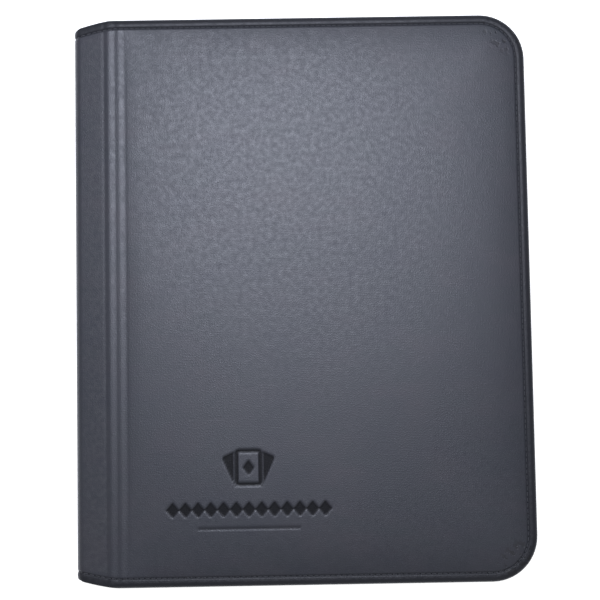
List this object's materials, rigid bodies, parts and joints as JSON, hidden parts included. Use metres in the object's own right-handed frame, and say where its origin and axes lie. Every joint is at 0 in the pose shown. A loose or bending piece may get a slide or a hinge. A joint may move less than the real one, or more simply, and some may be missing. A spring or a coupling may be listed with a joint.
{
  "type": "trading card binder",
  "caption": "Zip-round card binder: two padded covers on a folding spine, clear pocket leaves, and a zip round three sides.",
  "frame": {"origin": "middle of the back cover's outer face, on the surface the shut binder lies on", "axes": "+X from the spine to the fore edge, +Y from tail to head, +Z from the back cover up to the front cover"},
  "size_m": [0.272, 0.34, 0.04],
  "materials": {
    "leather": "satin",
    "foam": "matt",
    "greyboard": "matt",
    "lining_cloth": "matt",
    "zip_tape": "matt",
    "zip_coil": "satin",
    "binding_strip": "matt",
    "slider_metal": "satin",
    "leaf_sheet": "matt",
    "pocket_film": "gloss"
  },
  "bodies": {
    "back_cover": {"back_skin": "leather", "back_foam": "foam", "back_board": "greyboard", "back_lining": "lining_cloth", "back_zip_tape": "zip_tape", "back_zip_coil": "zip_coil"},
    "back_shoulder": {"back_shoulder": "leather"},
    "spine": {"spine_skin": "leather", "spine_board": "greyboard", "page_binding": "binding_strip", "zip_end_tabs": "lining_cloth"},
    "front_shoulder": {"front_shoulder": "leather"},
    "front_cover": {"front_skin": "leather", "front_foam": "foam", "front_board": "greyboard", "front_lining": "lining_cloth", "front_zip_tape": "zip_tape", "front_zip_coil": "zip_coil"},
    "zip_slider": {"zip_slider": "slider_metal"},
    "zip_pull": {"zip_pull": "slider_metal"},
    "leaf_01": {"leaf_01_sheet": "leaf_sheet", "leaf_01_pockets": "pocket_film"},
    "leaf_02": {"leaf_02_sheet": "leaf_sheet", "leaf_02_pockets": "pocket_film"},
    "leaf_03": {"leaf_03_sheet": "leaf_sheet", "leaf_03_pockets": "pocket_film"},
    "leaf_04": {"leaf_04_sheet": "leaf_sheet", "leaf_04_pockets": "pocket_film"},
    "leaf_05": {"leaf_05_sheet": "leaf_sheet", "leaf_05_pockets": "pocket_film"},
    "leaf_06": {"leaf_06_sheet": "leaf_sheet", "leaf_06_pockets": "pocket_film"},
    "leaf_07": {"leaf_07_sheet": "leaf_sheet", "leaf_07_pockets": "pocket_film"},
    "leaf_08": {"leaf_08_sheet": "leaf_sheet", "leaf_08_pockets": "pocket_film"},
    "leaf_09": {"leaf_09_sheet": "leaf_sheet", "leaf_09_pockets": "pocket_film"},
    "leaf_10": {"leaf_10_sheet": "leaf_sheet", "leaf_10_pockets": "pocket_film"},
    "leaf_11": {"leaf_11_sheet": "leaf_sheet", "leaf_11_pockets": "pocket_film"},
    "leaf_12": {"leaf_12_sheet": "leaf_sheet", "leaf_12_pockets": "pocket_film"},
    "leaf_13": {"leaf_13_sheet": "leaf_sheet", "leaf_13_pockets": "pocket_film"},
    "leaf_14": {"leaf_14_sheet": "leaf_sheet", "leaf_14_pockets": "pocket_film"},
    "leaf_15": {"leaf_15_sheet": "leaf_sheet", "leaf_15_pockets": "pocket_film"},
    "leaf_16": {"leaf_16_sheet": "leaf_sheet", "leaf_16_pockets": "pocket_film"},
    "leaf_17": {"leaf_17_sheet": "leaf_sheet", "leaf_17_pockets": "pocket_film"},
    "leaf_18": {"leaf_18_sheet": "leaf_sheet", "leaf_18_pockets": "pocket_film"},
    "leaf_19": {"leaf_19_sheet": "leaf_sheet", "leaf_19_pockets": "pocket_film"},
    "leaf_20": {"leaf_20_sheet": "leaf_sheet", "leaf_20_pockets": "pocket_film"}
  },
  "joints": [
    {"name": "spine_fold", "type": "hinge", "parent": "back_shoulder", "child": "spine", "pos_m": [-0.136, 0, 0.004], "axis": [0, -1, 0], "range_deg": [0, 79.7]},
    {"name": "back_crease", "type": "hinge", "parent": "back_cover", "child": "back_shoulder", "pos_m": [-0.114, 0, 0], "axis": [0, -1, 0], "range_deg": [0, 10.31]},
    {"name": "cover_fold", "type": "hinge", "parent": "spine", "child": "front_shoulder", "pos_m": [-0.136, 0, 0.036], "axis": [0, -1, 0], "range_deg": [0, 79.7]},
    {"name": "front_crease", "type": "hinge", "parent": "front_shoulder", "child": "front_cover", "pos_m": [-0.114, 0, 0.04], "axis": [0, -1, 0], "range_deg": [0, 10.31]},
    {"name": "slider_slide", "type": "slide", "parent": "back_cover", "child": "zip_slider", "axis": [1, 0, 0], "range_m": [0, 0.205]},
    {"name": "pull_swing", "type": "hinge", "parent": "zip_slider", "child": "zip_pull", "pos_m": [-0.104, -0.1663, 0.02], "axis": [0, 0, -1], "range_deg": [0, 180]},
    {"name": "leaf_01_turn", "type": "hinge", "parent": "spine", "child": "leaf_01", "pos_m": [-0.1303, 0, 0.00765], "axis": [0, -1, 0], "range_deg": [-84.01, 0]},
    {"name": "leaf_02_turn", "type": "hinge", "parent": "spine", "child": "leaf_02", "pos_m": [-0.1303, 0, 0.00895], "axis": [0, -1, 0], "range_deg": [-81.51, 0]},
    {"name": "leaf_03_turn", "type": "hinge", "parent": "spine", "child": "leaf_03", "pos_m": [-0.1303, 0, 0.01025], "axis": [0, -1, 0], "range_deg": [-79.01, 0]},
    {"name": "leaf_04_turn", "type": "hinge", "parent": "spine", "child": "leaf_04", "pos_m": [-0.1303, 0, 0.01155], "axis": [0, -1, 0], "range_deg": [-76.51, 0]},
    {"name": "leaf_05_turn", "type": "hinge", "parent": "spine", "child": "leaf_05", "pos_m": [-0.1303, 0, 0.01285], "axis": [0, -1, 0], "range_deg": [-74.01, 0]},
    {"name": "leaf_06_turn", "type": "hinge", "parent": "spine", "child": "leaf_06", "pos_m": [-0.1303, 0, 0.01415], "axis": [0, -1, 0], "range_deg": [-71.51, 0]},
    {"name": "leaf_07_turn", "type": "hinge", "parent": "spine", "child": "leaf_07", "pos_m": [-0.1303, 0, 0.01545], "axis": [0, -1, 0], "range_deg": [-69.01, 0]},
    {"name": "leaf_08_turn", "type": "hinge", "parent": "spine", "child": "leaf_08", "pos_m": [-0.1303, 0, 0.01675], "axis": [0, -1, 0], "range_deg": [-66.51, 0]},
    {"name": "leaf_09_turn", "type": "hinge", "parent": "spine", "child": "leaf_09", "pos_m": [-0.1303, 0, 0.01805], "axis": [0, -1, 0], "range_deg": [-64.01, 0]},
    {"name": "leaf_10_turn", "type": "hinge", "parent": "spine", "child": "leaf_10", "pos_m": [-0.1303, 0, 0.01935], "axis": [0, -1, 0], "range_deg": [-61.51, 0]},
    {"name": "leaf_11_turn", "type": "hinge", "parent": "spine", "child": "leaf_11", "pos_m": [-0.1303, 0, 0.02065], "axis": [0, -1, 0], "range_deg": [0, 61.51]},
    {"name": "leaf_12_turn", "type": "hinge", "parent": "spine", "child": "leaf_12", "pos_m": [-0.1303, 0, 0.02195], "axis": [0, -1, 0], "range_deg": [0, 64.01]},
    {"name": "leaf_13_turn", "type": "hinge", "parent": "spine", "child": "leaf_13", "pos_m": [-0.1303, 0, 0.02325], "axis": [0, -1, 0], "range_deg": [0, 66.51]},
    {"name": "leaf_14_turn", "type": "hinge", "parent": "spine", "child": "leaf_14", "pos_m": [-0.1303, 0, 0.02455], "axis": [0, -1, 0], "range_deg": [0, 69.01]},
    {"name": "leaf_15_turn", "type": "hinge", "parent": "spine", "child": "leaf_15", "pos_m": [-0.1303, 0, 0.02585], "axis": [0, -1, 0], "range_deg": [0, 71.51]},
    {"name": "leaf_16_turn", "type": "hinge", "parent": "spine", "child": "leaf_16", "pos_m": [-0.1303, 0, 0.02715], "axis": [0, -1, 0], "range_deg": [0, 74.01]},
    {"name": "leaf_17_turn", "type": "hinge", "parent": "spine", "child": "leaf_17", "pos_m": [-0.1303, 0, 0.02845], "axis": [0, -1, 0], "range_deg": [0, 76.51]},
    {"name": "leaf_18_turn", "type": "hinge", "parent": "spine", "child": "leaf_18", "pos_m": [-0.1303, 0, 0.02975], "axis": [0, -1, 0], "range_deg": [0, 79.01]},
    {"name": "leaf_19_turn", "type": "hinge", "parent": "spine", "child": "leaf_19", "pos_m": [-0.1303, 0, 0.03105], "axis": [0, -1, 0], "range_deg": [0, 81.51]},
    {"name": "leaf_20_turn", "type": "hinge", "parent": "spine", "child": "leaf_20", "pos_m": [-0.1303, 0, 0.03235], "axis": [0, -1, 0], "range_deg": [0, 84.01]}
  ],
  "couplings": [
    {"joint": "back_crease", "follows": "spine_fold", "ratio": 0.1293},
    {"joint": "front_crease", "follows": "cover_fold", "ratio": 0.1293},
    {"joint": "leaf_01_turn", "follows": "spine_fold", "ratio": -1.054},
    {"joint": "leaf_02_turn", "follows": "spine_fold", "ratio": -1.0226},
    {"joint": "leaf_03_turn", "follows": "spine_fold", "ratio": -0.99128},
    {"joint": "leaf_04_turn", "follows": "spine_fold", "ratio": -0.95991},
    {"joint": "leaf_05_turn", "follows": "spine_fold", "ratio": -0.92854},
    {"joint": "leaf_06_turn", "follows": "spine_fold", "ratio": -0.89717},
    {"joint": "leaf_07_turn", "follows": "spine_fold", "ratio": -0.8658},
    {"joint": "leaf_08_turn", "follows": "spine_fold", "ratio": -0.83443},
    {"joint": "leaf_09_turn", "follows": "spine_fold", "ratio": -0.80306},
    {"joint": "leaf_10_turn", "follows": "spine_fold", "ratio": -0.77169},
    {"joint": "leaf_11_turn", "follows": "cover_fold", "ratio": 0.77169},
    {"joint": "leaf_12_turn", "follows": "cover_fold", "ratio": 0.80306},
    {"joint": "leaf_13_turn", "follows": "cover_fold", "ratio": 0.83443},
    {"joint": "leaf_14_turn", "follows": "cover_fold", "ratio": 0.8658},
    {"joint": "leaf_15_turn", "follows": "cover_fold", "ratio": 0.89717},
    {"joint": "leaf_16_turn", "follows": "cover_fold", "ratio": 0.92854},
    {"joint": "leaf_17_turn", "follows": "cover_fold", "ratio": 0.95991},
    {"joint": "leaf_18_turn", "follows": "cover_fold", "ratio": 0.99128},
    {"joint": "leaf_19_turn", "follows": "cover_fold", "ratio": 1.0226},
    {"joint": "leaf_20_turn", "follows": "cover_fold", "ratio": 1.054}
  ]
}
